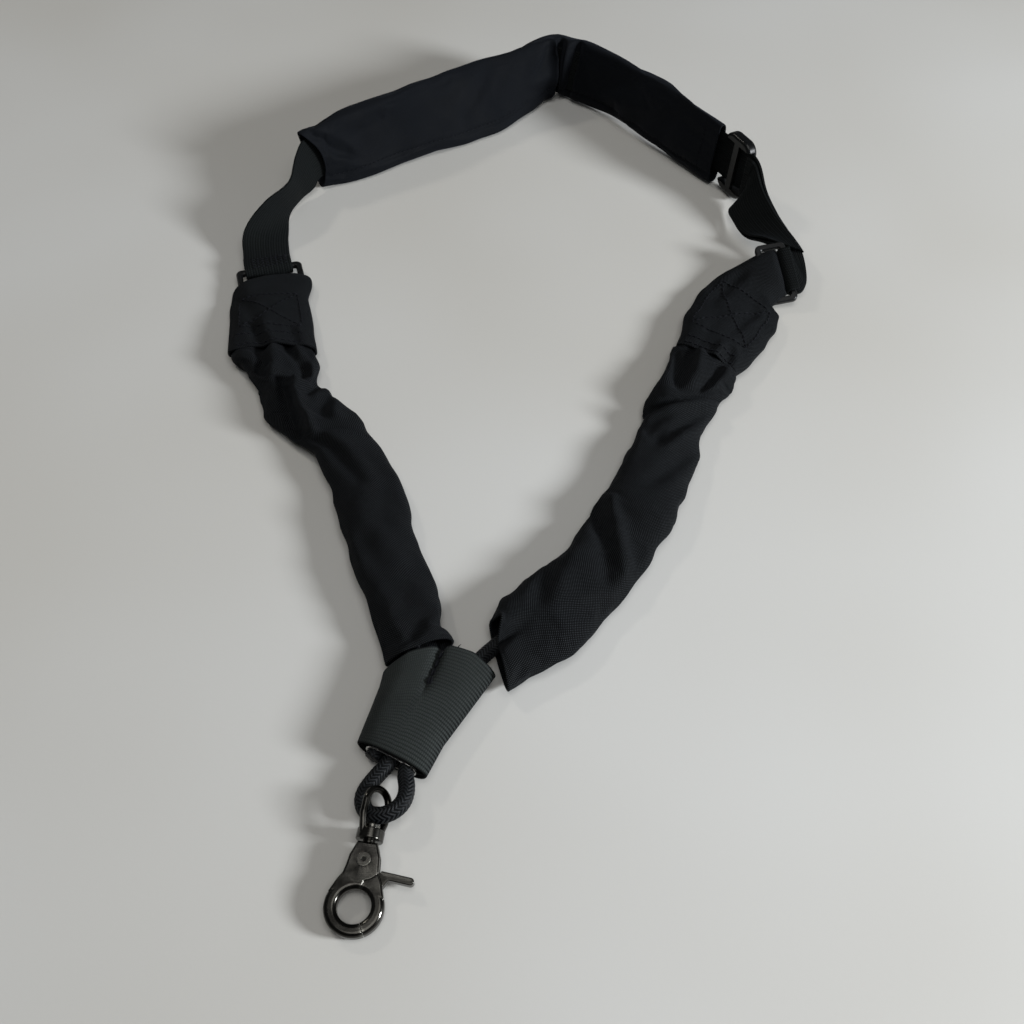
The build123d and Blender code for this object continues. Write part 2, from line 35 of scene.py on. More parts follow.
WEBBING_WIDTH = 25.0
WEBBING_THICK = 1.6
RETURN_WIDTH = 24.0
RETURN_THICK = 1.4
RETURN_LIFT = 2.6
FOAM_WIDTH = 30.0
FOAM_THICK = 1.8
FOAM_LIFT = -1.9
WRAP_RADIUS = 3.1        # middle of the webbing where it turns round a ring's bar
CORD_DIAMETER = 6.5
BRAID_CHEVRONS = 5       # herringbone rows round the cord
BRAID_PITCH = 1.5
BRAID_SLANT = 1.15       # strands that a chevron's arm climbs
COVER_WALL = 0.9
SLEEVE_WALL = 1.0
TAB_WALL = 1.2
YOKE_WALL = 1.2
YOKE_MID_Z = 6.8
YOKE_HALF_HEIGHT = 6.0
YOKE_RIBS = 33
YOKE_LENGTH = 46.0       # of its cloth, along the cords
YOKE_RIB = 0.32
YOKE_THREAD_RADIUS = 0.42
YOKE_SEAM = [(-26.2, -152.5), (-27.6, -156), (-29, -160), (-30.4, -164), (-31.4, -168)]
YOKE_TAIL = [(-21.5, -150.2, 9.4), (-20.6, -149.5, 9.7), (-20.2, -148.6, 10.2), (-19.2, -147.6, 10.3)]
RING_BAR = 3.2
TUBE_LOWEST = 0.9        # least height of tube cloth above the table, before and after it settles
SETTLED_LOWEST = 0.3
SEAM_HALF_WIDTH = 0.9
MOUTH_BEAD = (7.5, -0.68, 0.26)    # of the right sleeve's rolled mouth: height, place across, width
MOUTH_PINCH = (5.2, -0.18, 0.16)   # depth, place and width of the pinch beside it
MOUTH_CUT = (6.5, -0.66, 0.3)      # how far its edge is drawn back, and where
MOUTH_CUT_LENGTH = 12.0
PAD_SEAM = 6.5           # from the pad's lower edge
PAD_SEAM_HEIGHT = 35.0   # height of the pad that the seam's place is a share of
FOLD_ROWS = 4            # stitched rows across the webbing's left fold
FOLD_ROWS_START = 24.0
FOLD_ROWS_PITCH = 1.9
WEAVE_DOT = 0.98         # pitch of the sleeve cloth's dots

# Each station is the run's left edge, its right edge and its thickness.
NECK_PAD = [
    ((-108, 165, 1.2), (-117, 168, 35), 9),
    ((-91, 171, 1.2), (-98, 184, 38), 9),
    ((-57, 190, 1.2), (-65, 203, 38), 10),
    ((-22, 209, 1.2), (-32, 228, 36), 10),
    ((-4, 220, 1.2), (-14, 241, 36), 10),
    ((13, 238, 1.2), (7, 250, 38), 10),
    ((29, 258, 1.2), (27, 260, 39), 12),
    ((41, 248, 1.2), (42, 257, 38), 10),
    ((54, 239, 1.2), (55, 246, 39), 9),
    ((78, 217, 1.2), (79, 222, 39), 9),
    ((98, 192, 1.2), (100, 196, 39), 9),
    ((117, 170, 1.2), (119, 172, 38), 9),
]
LEFT_WEBBING = [
    ((-117.5, 98.5, 5.5), (-142.5, 96, 6.5), WEBBING_THICK),
    ((-122, 120, 2), (-143, 113, 12), WEBBING_THICK),
    ((-123.5, 138, 2), (-132, 126, 21), WEBBING_THICK),
    ((-118, 153, 2.5), (-120, 141, 24), WEBBING_THICK),
    ((-111, 161, 4.5), (-118, 158, 28), WEBBING_THICK),
]
RIGHT_WEBBING = [
    ((125, 142, 2.5), (140.5, 140, 22), WEBBING_THICK),
    ((125, 130, 2.5), (145.5, 124, 17), WEBBING_THICK),
    ((128.5, 118, 4), (151, 111, 13.5), WEBBING_THICK),
    ((137, 106, 10), (155.5, 94, 10.5), WEBBING_THICK),
]
LEFT_TAB = [
    ((-139.5, 79.9, 4.1), (-113.5, 86.9, 4.1), 7.6),
    ((-143.0, 76.0, 4.1), (-107.2, 85, 4.1), 7.6),
    ((-144.5, 62, 4.2), (-104.5, 66, 4.2), 7.8),
    ((-143, 44, 5.2), (-99.5, 44, 5.2), 10),
    ((-140, 24, 6.2), (-96.2, 26, 6.2), 12),
]
LEFT_SLEEVE = [
    ((-136.6, 27.4, 6), (-99, 29.4, 6), 8.8),
    ((-138, 22.5, 6), (-96, 24.5, 6), 11),
    ((-129, 9, 6), (-91, 4, 6), 12),
    ((-122, -3, 6), (-83, -8, 6), 12),
    ((-117.5, -18, 6), (-72, -19, 6), 11.5),
    ((-103.5, -33, 6), (-67, -31, 6), 11.5),
    ((-92, -43, 6), (-58, -47, 6), 11),
    ((-84, -62, 6), (-49.5, -65, 6), 11),
    ((-72, -96, 6), (-40, -98, 6), 11),
    ((-62, -125, 6), (-30, -124, 6), 11),
    ((-50.5, -155.5, 6.2), (-22.5, -144, 6.2), 11.5),
]
RIGHT_TAB = [
    ((141.4, 93.5, 14.7), (145.4, 68.8, 5.9), 7.6),
    ((127, 91, 10.4), (136.5, 60, 4.3), 7.6),
    ((113, 84, 6), (139.5, 53, 4.6), 7.6),
    ((101, 73, 5), (136, 43, 5), 8),
    ((93, 57, 5.4), (128.5, 30, 5.4), 10),
    ((83.5, 30, 6.2), (112, 9, 6.2), 12),
]
RIGHT_SLEEVE = [
    ((86.6, 31.7, 6), (111.8, 13.3, 6), 8.8),
    ((82.6, 28.5, 6), (111, 7.7, 6), 11),
    ((72, 7, 6), (107, -3, 6), 12),
    ((65, -6, 6), (99.5, -16, 6), 12),
    ((62, -22, 6), (90, -32, 6), 12),
    ((54, -41, 6), (87, -50, 6), 12),
    ((41.5, -65, 6.2), (75, -81, 6.2), 12),
    ((29.5, -87, 6.2), (63, -101, 6.2), 12),
    ((19, -102.5, 6.2), (51, -118, 6.2), 12),
    ((8, -112, 6.5), (38.5, -135, 6.2), 12),
    ((-2, -124, 7.5), (25.5, -149.5, 6.2), 12.5),
    ((-8, -137, 8), (0, -166.5, 6.2), 12.5),
]
YOKE_TOP = [(-49.5, -159.5), (-39, -153), (-28.5, -150.2), (-26, -153), (-23.5, -150.5), (-14, -153.5),
            (-6, -160)]
YOKE_LEFT = [(-49.5, -159.5), (-50.5, -166), (-53, -175), (-57.5, -190.5)]
YOKE_RIGHT = [(-6, -160), (-15, -174), (-26, -191), (-32, -204)]

# Cord routes, hand to hand with the CAD's.
LEFT_CORD = [
    (-118, 34, 5.9), (-114.5, 18, 6.1), (-103, -5, 6), (-87, -30, 6), (-70, -55, 6), (-58, -90, 6),
    (-47, -122, 6), (-38, -148, 6.4), (-41, -168, 6.8), (-46.6, -185.7, 6.8), (-52.4, -196.7, 6.8),
]
RIGHT_CORD = [
    (101.5, 32, 5.9), (93, 11, 6.1), (82, -11, 6), (74, -34, 6), (60, -68, 6.2), (46, -93, 6.2),
    (24, -123, 6.4), (5, -137, 6.8), (-13, -153.5, 6.8), (-26, -173, 6.8), (-34.4, -192.5, 6.8),
    (-39.7, -202.6, 6.9),
]
CORD_LOOP = [(10.2, 46, 0.2), (9.6, 38.8, 1.6), (3.8, 34.0, 1.2), (-3.8, 34.6, -1.6), (-7.4, 41.5, -2.6),
             (-3, 50.2, -1.8)]   # in the snap's frame: across, along the shank, up
LOOP_TAIL = [(-45.9, -199.5, 6.8), (-39.3, -187, 6.8)]
SNAP_CENTRE = (-55.0, -253.8, 3.75)
SNAP_TURN = math.radians(9.0)
SNAP_PITCH = math.radians(5.0)

CAMERA_AT = (-0.00427, -0.40727, 0.430)
CAMERA_TILT = math.radians(38.0)
CAMERA_LENS = 42.19


# ---- geometry helpers --------------------------------------------------------------------------------------
def layout(points):
    """Layout millimetres as metres in the row frame."""
    return (np.asarray(points, float) + LAYOUT_SHIFT) * MM


def unit(vectors):
    vectors = np.asarray(vectors, float)
    return vectors / np.linalg.norm(vectors, axis=-1, keepdims=True)


def arc_length(points):
    steps = np.linalg.norm(np.diff(points, axis=0), axis=1)
    return np.concatenate([[0.0], np.cumsum(steps)])


def smoothed(values, knots, at, ease):
    """A curve through the values at their knots, read at the places in at: smooth at ease 1, folded at 0."""
    slopes = ease * np.gradient(values, knots, axis=0)
    i = np.clip(np.searchsorted(knots, at, side="right") - 1, 0, len(knots) - 2)
    span = (knots[i + 1] - knots[i])[:, None]
    t = (at - knots[i])[:, None] / span
    start, end = 2 * t**3 - 3 * t**2 + 1, 3 * t**2 - 2 * t**3
    rise, fall = t**3 - 2 * t**2 + t, t**3 - t**2
    return start * values[i] + end * values[i + 1] + span * (rise * slopes[i] + fall * slopes[i + 1])


@dataclass
class Run:
    """A strip or flattened tube's middle line and its frame at each of its rows."""
    mid: np.ndarray
    across: np.ndarray
    normal: np.ndarray
    half: np.ndarray
    thick: np.ndarray
    at: np.ndarray

    def place(self, share, across):
        """A point on the middle surface: share is 0 to 1 along, across -1 to 1. With it, the way up there."""
        row = share * (len(self.at) - 1)
        i = min(int(row), len(self.at) - 2)
        part = row - i
        mix = [a[i] * (1 - part) + a[i + 1] * part for a in (self.mid, self.across, self.normal, self.half)]
        return mix[0] + mix[1] * mix[3] * across, mix[2]


def run_through(stations, rows, ease=1.0):
    left, right = layout([s[0] for s in stations]), layout([s[1] for s in stations])
    thick = np.array([[s[2] * MM] for s in stations])
    knots = arc_length((left + right) / 2)
    at = np.linspace(0, knots[-1], rows)
    read = smoothed(np.hstack([left, right, thick]), knots, at, ease)
    left, right, thick = read[:, :3], read[:, 3:6], read[:, 6]
    mid = (left + right) / 2
    across = unit(right - left)
    along = np.gradient(mid, axis=0)
    along = unit(along - across * np.sum(along * across, axis=1, keepdims=True))
    half = np.linalg.norm(right - left, axis=1) / 2
    return Run(mid, across, np.cross(along, across), half, thick, arc_length(mid))


def narrowed(station, width, thick):
    left, right = np.array(station[0], float), np.array(station[1], float)
    mid, half = (left + right) / 2, unit(right - left) * width / 2
    return tuple(mid - half), tuple(mid + half), thick


def grid_piece(name, points, uv, weld=False):
    """A mesh from a grid of points, closed round each row. uv has one column more than points."""
    rows, columns, _ = points.shape
    r, c = np.meshgrid(np.arange(rows - 1), np.arange(columns), indexing="ij")
    n = (c + 1) % columns
    faces = np.stack([r * columns + c, r * columns + n, (r + 1) * columns + n, (r + 1) * columns + c], -1)
    mesh = bpy.data.meshes.new(name)
    mesh.from_pydata(points.reshape(-1, 3).tolist(), [], faces.reshape(-1, 4).tolist())
    corners = np.stack([uv[r, c], uv[r, c + 1], uv[r + 1, c + 1], uv[r + 1, c]], -2)
    layer = mesh.uv_layers.new(name="weave")
    layer.data.foreach_set("uv", corners.astype(np.float32).ravel())
    piece = bpy.data.objects.new(name, mesh)
    bpy.context.scene.collection.objects.link(piece)
    work = bmesh.new()
    work.from_mesh(mesh)
    if weld:
        bmesh.ops.remove_doubles(work, verts=work.verts, dist=1e-7)
    bmesh.ops.recalc_face_normals(work, faces=work.faces)
    work.to_mesh(mesh)
    work.free()
    mesh.shade_smooth()
    return piece


def around_lengths(points):
    """How far round each row every column is, with the closing column added."""
    closed = np.concatenate([points, points[:, :1]], axis=1)
    steps = np.linalg.norm(np.diff(closed, axis=1), axis=2)
    return np.concatenate([np.zeros((len(points), 1)), np.cumsum(steps, axis=1)], axis=1)


def weave_uv(points, at):
    lengths = around_lengths(points)
    lengths = lengths - lengths[:, -1:] / 2
    along = np.repeat(np.asarray(at)[:, None], lengths.shape[1], axis=1)
    return np.stack([along, lengths], -1)


def crease_field(s, w, start, end, width, depth, lip=0.55):
    """A pleat: a valley from start to end, with a raised lip on its left. s is along, w across, in metres."""
    a, b = np.array(start) * MM, np.array(end) * MM
    run = b - a
    length = np.linalg.norm(run)
    run = run / length
    along = (s - a[0]) * run[0] + (w - a[1]) * run[1]
    aside = (-(s - a[0]) * run[1] + (w - a[1]) * run[0]) / (width * MM)
    beyond = np.maximum(0, np.maximum(-along, along - length)) / (1.5 * width * MM)
    shape = -np.exp(-aside**2) + lip * np.exp(-((aside - 1.8) ** 2))
    return depth * MM * shape * np.exp(-beyond**2)


def rumple(points, size, amount, seed):
    """Slow uneven swelling of a cloth surface, as a height for each point."""
    flat = points.reshape(-1, 3) / (size * MM)
    height = [noise.noise(Vector(p) + Vector((seed, 0, 0))) for p in flat]
    return amount * MM * np.array(height).reshape(points.shape[:2])


@dataclass
class Cloth:
    """How a flattened cloth tube lies."""
    fullness: float = 1.0     # under 1 a blunt pad, over 1 a lens
    ease: float = 1.0         # 1 for smooth edges, less for edges with corners
    creases: tuple = ()       # (start, end, width, depth, lip), in mm along and across; lip is a share
    rumples: tuple = ()       # (size, amount, seed)
    edge_waves: tuple = ()    # (size, amount, seed)
    seams: tuple = ()         # (distance from an edge, depth); negative from the right edge
    caps: tuple = (0, 0)      # rounding of the two ends
    lip: tuple = ()           # (length, cut back) of an open mouth at the start
    curl: float = 0.0         # length of the rolled mouth at the end
    deepest: float = 2.0      # of its folds over the cord, so that they rest on it


def waved_edges(run, waves):
    """Gathers push the two edges in and out."""
    for size, amount, seed in waves:
        at = run.at / (size * MM)
        left = np.array([noise.noise(Vector((a, seed, 0.3))) for a in at])
        right = np.array([noise.noise(Vector((a, seed + 7.7, 0.9))) for a in at])
        run.mid = run.mid + run.across * ((right - left) / 2 * amount * MM)[:, None]
        run.half = run.half + (left + right) / 2 * amount * MM
    return run


def bell(x, place, width):
    return np.exp(-(((x - place) / width) ** 2))


def near_end(run, s, length):
    """1 at the run's end, falling to 0 at length mm before it."""
    return np.clip(1 - (run.at[-1] - s) / (length * MM), 0, 1)


def surface_height(cloth, run, points, s, w, side):
    """How far the cloth stands off its plain shape, outward."""
    height = np.zeros_like(s)
    for crease in cloth.creases:
        height += crease_field(s, w, *crease) * np.clip(side, 0, 1)
    for size, amount, seed in cloth.rumples:
        height += rumple(points, size, amount, seed) * np.abs(side)
    for offset, depth in cloth.seams:
        from_edge = (w + run.half[:, None]) if offset > 0 else (run.half[:, None] - w)
        height -= depth * MM * bell(from_edge, abs(offset) * MM, SEAM_HALF_WIDTH * MM) * np.abs(side)
    if cloth.curl:
        x = w / run.half[:, None]
        roll = MOUTH_BEAD[0] * bell(x, *MOUTH_BEAD[1:]) - MOUTH_PINCH[0] * bell(x, *MOUTH_PINCH[1:])
        height += roll * MM * near_end(run, s, cloth.curl) ** 1.3 * np.clip(side, 0, 1)
    return np.maximum(height, -cloth.deepest * MM * (1 + (w / (4 * MM)) ** 2))


def tube_section(columns, fullness):
    """Places round a flattened tube: across, -1 to 1, and up, -1 to 1."""
    angle = np.linspace(0, 2 * math.pi, columns, endpoint=False) - math.pi / 2
    x, y = np.cos(angle + 1e-6), np.sin(angle)
    return np.sign(x) * np.abs(x) ** 0.9, np.sign(y) * np.abs(y) ** fullness


def end_squeeze(cloth, run):
    """How much each row keeps of its thickness where the ends are rounded."""
    squeeze = np.ones(len(run.at))
    for size, distance in ((cloth.caps[0], run.at), (cloth.caps[1], run.at[-1] - run.at)):
        if size:
            inside = np.clip(1 - distance / (size * MM), 0, 1)
            squeeze *= np.sqrt(np.maximum(1 - inside**2, 0.0004))
    return squeeze


def open_mouths(cloth, run, points, s, x, side):
    """Draws the upper layer back where the tube's start or end stands open."""
    along = unit(np.gradient(run.mid, axis=0))
    if cloth.lip:
        length, cut = cloth.lip
        back = np.clip(1 - s / (length * MM), 0, 1) ** 1.5 * np.clip(side, 0, 1) * (1 - (x * 0.95) ** 2)
        points = points + along[:, None] * (back * cut * MM)[..., None]
    if cloth.curl:
        near = near_end(run, s, MOUTH_CUT_LENGTH)
        back = MOUTH_CUT[0] * MM * near * np.clip(side, 0, 1) * bell(x, *MOUTH_CUT[1:])
        points = points - along[:, None] * back[..., None]
    return points


def flat_tube(name, stations, rows, columns, cloth):
    """A flattened tube of cloth through the stations, with its creases, seams and open ends."""
    run = waved_edges(run_through(stations, rows, cloth.ease), cloth.edge_waves)
    x, y = tube_section(columns, cloth.fullness)
    squeeze = end_squeeze(cloth, run)
    thick = run.thick / 2 * squeeze
    base = run.mid[:, None] + run.across[:, None] * (run.half[:, None] * x)[..., None]
    points = base + run.normal[:, None] * (thick[:, None] * y)[..., None]
    s = np.repeat(run.at[:, None], columns, axis=1)
    w = run.half[:, None] * x
    side = np.sign(y) * np.sqrt(np.abs(y)) * squeeze[:, None]
    height = surface_height(cloth, run, points, s, w, side)
    points = points + run.normal[:, None] * (height * np.where(y < 0, -1, 1))[..., None]
    points = open_mouths(cloth, run, points, s, x, side)
    points[..., 2] = np.maximum(points[..., 2], TUBE_LOWEST * MM)
    return grid_piece(name, points, weave_uv(points, run.at)), run


def ribbon_profile(columns, ribs):
    """Half of a webbing's section: places across, -1 to 1, and heights there, about 1."""
    x = np.linspace(-1, 1, columns)
    edge = np.sqrt(np.maximum(1 - np.abs(x) ** 30, 0.01))
    rib = 0.16 * (np.abs(np.sin(x * ribs * math.pi / 2)) - 0.7) if ribs else 0 * x
    return x, edge * (1 + rib)


def ribbon(name, stations, rows, width, thick, lift=0.0, ribs=9, columns=56):
    """A flat woven strip with lengthwise ribs on both faces."""
    run = run_through(stations, rows)
    x, height = ribbon_profile(columns, ribs)
    x = np.concatenate([x, x[::-1]])
    y = np.concatenate([height, -height[::-1]]) * thick / 2 * MM
    points = run.mid[:, None] + run.across[:, None] * (width / 2 * MM * x)[None, :, None]
    points = points + run.normal[:, None] * (lift * MM + y)[None, :, None]
    middle = run.mid + run.normal * lift * MM
    closing = middle[:, None] + run.across[:, None] * (width / 2 * MM * x)[None, :, None]
    points = np.concatenate([closing[:1], points, closing[-1:]])
    at = np.concatenate([run.at[:1], run.at, run.at[-1:]])
    piece = grid_piece(name, points, weave_uv(points, at), weld=True)
    return piece, run


def coordinates(mesh):
    flat = np.zeros(len(mesh.vertices) * 3, np.float32)
    mesh.vertices.foreach_get("co", flat)
    return flat.reshape(-1, 3).astype(float)


def settle(piece, held, pressure, slack, cap, frames=20):
    """Lets the cloth swell and rumple for a moment, with the held points fixed and every move capped."""
    rest = coordinates(piece.data)
    group = piece.vertex_groups.new(name="held")
    group.add([int(i) for i in np.flatnonzero(held)], 1.0, "REPLACE")
    cloth = piece.modifiers.new("cloth", "CLOTH")
    settings = cloth.settings
    settings.quality = 5
    settings.mass = 0.1
    settings.tension_stiffness = 12
    settings.compression_stiffness = 12
    settings.bending_stiffness = 0.4
    settings.use_pressure = True
    settings.uniform_pressure_force = pressure
    settings.shrink_min = -slack
    settings.effector_weights.gravity = 0
    settings.vertex_group_mass = group.name
    scene = bpy.context.scene
    for frame_number in range(1, frames + 1):
        scene.frame_set(frame_number)
    shown = piece.evaluated_get(bpy.context.evaluated_depsgraph_get())
    moved = coordinates(shown.data) - rest
    piece.modifiers.remove(cloth)
    scene.frame_set(1)
    distance = np.linalg.norm(moved, axis=1, keepdims=True)
    moved *= np.minimum(1, cap * MM / np.maximum(distance, 1e-9))
    settled = rest + moved
    settled[:, 2] = np.maximum(settled[:, 2], SETTLED_LOWEST * MM)
    piece.data.vertices.foreach_set("co", settled.astype(np.float32).ravel())
    piece.data.update()


def end_rows(rows, columns, depth=3):
    """Which points are within depth rows of either end."""
    row = np.repeat(np.arange(rows), columns)
    return (row < depth) | (row >= rows - depth)


def plain_wall(piece, wall):
    solid = piece.modifiers.new("wall", "SOLIDIFY")
    solid.thickness = wall * MM
    solid.offset = -1


def cloth_wall(piece, wall):
    plain_wall(piece, wall)
    soft = piece.modifiers.new("soft", "SUBSURF")
    soft.levels = soft.render_levels = 1


def surface_tree(piece):
    return BVHTree.FromObject(piece, bpy.context.evaluated_depsgraph_get())


def dropped(tree, point, up):
    """Where a point falls on the surface when it comes down along up."""
    start = Vector(point + up * 0.03)
    hit = tree.ray_cast(start, Vector(-up))
    return (np.array(hit[0]), np.array(hit[1])) if hit[0] else (np.asarray(point), up)


def thread_tube(line, radius, sides=6):
    """Points of a small tube with closed ends along a line, as rows."""
    along = unit(np.gradient(line, axis=0))
    helper = np.array([0.31, 0.22, 0.93])
    side = unit(np.cross(along, helper))
    other = np.cross(along, side)
    angle = np.linspace(0, 2 * math.pi, sides, endpoint=False)
    taper = np.ones(len(line))
    taper[0] = taper[-1] = 0.35
    ring = side[:, None] * np.cos(angle)[None, :, None] + other[:, None] * np.sin(angle)[None, :, None]
    return line[:, None] + ring * (radius * taper)[:, None, None]


def joined_grids(name, grids):
    """One mesh from many small tubes, each a grid of rows, with their ends closed."""
    vertices, faces = [], []
    for grid in grids:
        rows, columns, _ = grid.shape
        first = len(vertices)
        vertices.extend(grid.reshape(-1, 3).tolist())
        for r in range(rows - 1):
            for c in range(columns):
                n = (c + 1) % columns
                faces.append([first + r * columns + c, first + r * columns + n,
                              first + (r + 1) * columns + n, first + (r + 1) * columns + c])
        faces.append([first + c for c in range(columns)][::-1])
        faces.append([first + (rows - 1) * columns + c for c in range(columns)])
    mesh = bpy.data.meshes.new(name)
    mesh.from_pydata(vertices, [], faces)
    piece = bpy.data.objects.new(name, mesh)
    bpy.context.scene.collection.objects.link(piece)
    mesh.shade_smooth()
    return piece


def stitch_rows(tree, run, rows, pitch=3.0, length=2.3, radius=0.32):
    """Thread stitches on a cloth surface along rows given as (share, across) to (share, across)."""
    grids = []
    for (share_a, across_a), (share_b, across_b) in rows:
        places = [run.place(share_a + (share_b - share_a) * t, across_a + (across_b - across_a) * t)
                  for t in np.linspace(0, 1, 60)]
        landed = [dropped(tree, point, unit(up)) for point, up in places]
        line = np.array([p for p, _ in landed])
        ups = np.array([n for _, n in landed])
        at = arc_length(line)
        for k in range(max(1, int(at[-1] / (pitch * MM)))):
            centre = (k + 0.5) * pitch * MM
            t = centre + np.linspace(-0.5, 0.5, 7) * length * MM
            path = np.stack([np.interp(t, at, line[:, j]) for j in range(3)], -1)
            up = np.stack([np.interp(t, at, ups[:, j]) for j in range(3)], -1)
            arch = 0.28 * MM * np.cos(np.linspace(-1, 1, 7) * 1.9)[:, None]
            grids.append(thread_tube(path + up * arch, radius * MM))
    return grids


def route_line(points):
    """The smooth line of a cord's route, read from a NURBS spline with the route's points."""
    curve = bpy.data.curves.new("route", "CURVE")
    curve.dimensions = "3D"
    curve.resolution_u = 24
    spline = curve.splines.new("NURBS")
    spline.points.add(len(points) - 1)
    for control, point in zip(spline.points, points):
        control.co = (*point, 1)
    spline.order_u = 3
    spline.use_endpoint_u = True
    holder = bpy.data.objects.new("route", curve)
    bpy.context.scene.collection.objects.link(holder)
    mesh = bpy.data.meshes.new_from_object(holder)
    line = coordinates(mesh)
    bpy.data.objects.remove(holder)
    bpy.data.meshes.remove(mesh)
    return line


def carried_frames(line):
    """Directions across a line that never twist about it."""
    along = unit(np.gradient(line, axis=0))
    side = [unit(np.cross(along[0], [0.0, 0.0, 1.0]))]
    for direction in along[1:]:
        previous = side[-1]
        side.append(unit(previous - direction * (previous @ direction)))
    side = np.array(side)
    return side, np.cross(along, side)


def braided_cord(name, points, relief=0.3):
    """A cord whose cover is braided in a herringbone."""
    line = route_line(points)
    at = arc_length(line)
    step = 0.36 * MM
    even = np.linspace(0, at[-1], int(at[-1] / step))
    line = np.stack([np.interp(even, at, line[:, j]) for j in range(3)], -1)
    side, up = carried_frames(line)
    angle = np.linspace(0, 2 * math.pi, 60, endpoint=False)
    zigzag = np.abs(((angle * BRAID_CHEVRONS / (2 * math.pi)) % 1) * 2 - 1)
    phase = even[:, None] / (BRAID_PITCH * MM) + BRAID_SLANT * zigzag[None]
    strand = np.sqrt(np.abs(np.sin(phase * math.pi)))
    valley = 1 - 0.5 * np.exp(-((zigzag - 0.5) ** 2 - 0.25) ** 2 * 900)[None]
    radius = CORD_DIAMETER / 2 * MM - relief * MM * (1 - strand * valley)
    ring = side[:, None] * np.cos(angle)[None, :, None] + up[:, None] * np.sin(angle)[None, :, None]
    grid = line[:, None] + ring * radius[..., None]
    ends = [line[:1, None] + ring[:1] * 0.0004, line[-1:, None] + ring[-1:] * 0.0004]
    grid = np.concatenate([ends[0], grid, ends[1]])
    at = np.concatenate([even[:1], even, even[-1:]])
    turn = np.linspace(0, 2 * math.pi, 61) * CORD_DIAMETER / 2 * MM
    uv = np.stack([np.repeat(at[:, None], 61, axis=1), np.repeat(turn[None], len(at), axis=0)], -1)
    return grid_piece(name, grid, uv)


# ---- frames of the rings, slider and snap ------------------------------------------------------------------
def ring_axes(origin, long_way, short_way):
    x = unit(long_way)
    z = unit(np.cross(x, short_way))
    return np.array(origin, float), x, np.cross(z, x), z


LEFT_RING_TURN = math.radians(15)
LEFT_RING = ring_axes((-127, 85.2, 4.1), (-math.cos(LEFT_RING_TURN), -math.sin(LEFT_RING_TURN), 0),
                      (math.sin(LEFT_RING_TURN), -math.cos(LEFT_RING_TURN), 0))
RIGHT_RING = ring_axes((140.4, 80.7, 9.6), (0.15, -0.93, -0.33), (-0.95, -0.22, -0.2))
LEFT_RING_DEPTH, RIGHT_RING_DEPTH = 14.0, 16.0


def wrap_stations(ring, depth, tail):
    """Stations of the webbing round a ring's bar, from the end of its tail to where it leaves on top."""
    origin, x, y, z = ring
    bar = -(depth - RING_BAR) / 2
    path = [(bar - tail, -WRAP_RADIUS), (bar - tail / 2, -WRAP_RADIUS)]
    for angle in range(-90, 91, 30):
        turn = math.radians(angle)
        path.append((bar + WRAP_RADIUS * math.cos(turn), WRAP_RADIUS * math.sin(turn)))
    path.append((bar - 3.5, WRAP_RADIUS))
    half = WEBBING_WIDTH / 2
    middles = [origin + y * a + z * b for a, b in path]
    return [(tuple(middle - x * half), tuple(middle + x * half), WEBBING_THICK) for middle in middles]


def slider_station(offset):
    along = unit((0.5, -0.866, 0))
    up = np.array((0.07, 0.04, 0.997))
    up = unit(up - along * (up @ along))
    centre = np.array((127.5, 160.5, 19.5)) + along * offset
    half = WEBBING_WIDTH / 2
    return tuple(centre - up * half), tuple(centre + up * half), WEBBING_THICK


def snap_points(points):
    """Points in the snap's own frame, as layout millimetres."""
    cos_t, sin_t = math.cos(-SNAP_TURN), math.sin(-SNAP_TURN)
    cos_p, sin_p = math.cos(SNAP_PITCH), math.sin(SNAP_PITCH)
    turn = np.array([[cos_t, -sin_t, 0], [sin_t, cos_t, 0], [0, 0, 1]])
    pitch = np.array([[1, 0, 0], [0, cos_p, -sin_p], [0, sin_p, cos_p]])
    return [tuple(turn @ pitch @ np.array(p, float) + SNAP_CENTRE) for p in points]


# ---- materials ---------------------------------------------------------------------------------------------
def add(tree, kind, inputs=None, **settings):
    node = tree.nodes.new("ShaderNode" + kind)
    for key, value in settings.items():
        setattr(node, key, value)
    for key, value in (inputs or {}).items():
        if isinstance(value, bpy.types.NodeSocket):
            tree.links.new(value, node.inputs[key])
        else:
            node.inputs[key].default_value = value
    return node


def calc(tree, operation, a, b=0.0):
    return add(tree, "Math", {0: a, 1: b}, operation=operation).outputs[0]


def colours(tree, share, low, high):
    return add(tree, "Mix", {0: share, 6: (*low, 1), 7: (*high, 1)}, data_type="RGBA").outputs[2]


def scaled(tree, value, from_low, from_high, low, high):
    inputs = {"Value": value, "From Min": from_low, "From Max": from_high,
              "To Min": low, "To Max": high}
    return add(tree, "MapRange", inputs).outputs[0]


def grain(tree, scale, detail=3.0):
    """Noise in the piece's own space; scale is grains per metre."""
    place = add(tree, "TexCoord").outputs["Object"]
    inputs = {"Vector": place, "Scale": scale, "Detail": detail, "Roughness": 0.6}
    return add(tree, "TexNoise", inputs).outputs["Fac"]


def ridges(tree, value, pitch):
    """Rounded ridges, 0 to 1, one per pitch in mm."""
    wave = calc(tree, "SINE", calc(tree, "MULTIPLY", value, 2 * math.pi / (pitch * MM)))
    return scaled(tree, wave, -1, 1, 0, 1)


def weave_axes(tree):
    parts = add(tree, "SeparateXYZ", {0: add(tree, "UVMap", uv_map="weave").outputs[0]})
    return parts.outputs[0], parts.outputs[1]


def turned(tree, u, v, degrees):
    a, b = math.cos(math.radians(degrees)), math.sin(math.radians(degrees))
    return calc(tree, "ADD", calc(tree, "MULTIPLY", u, a), calc(tree, "MULTIPLY", v, b))


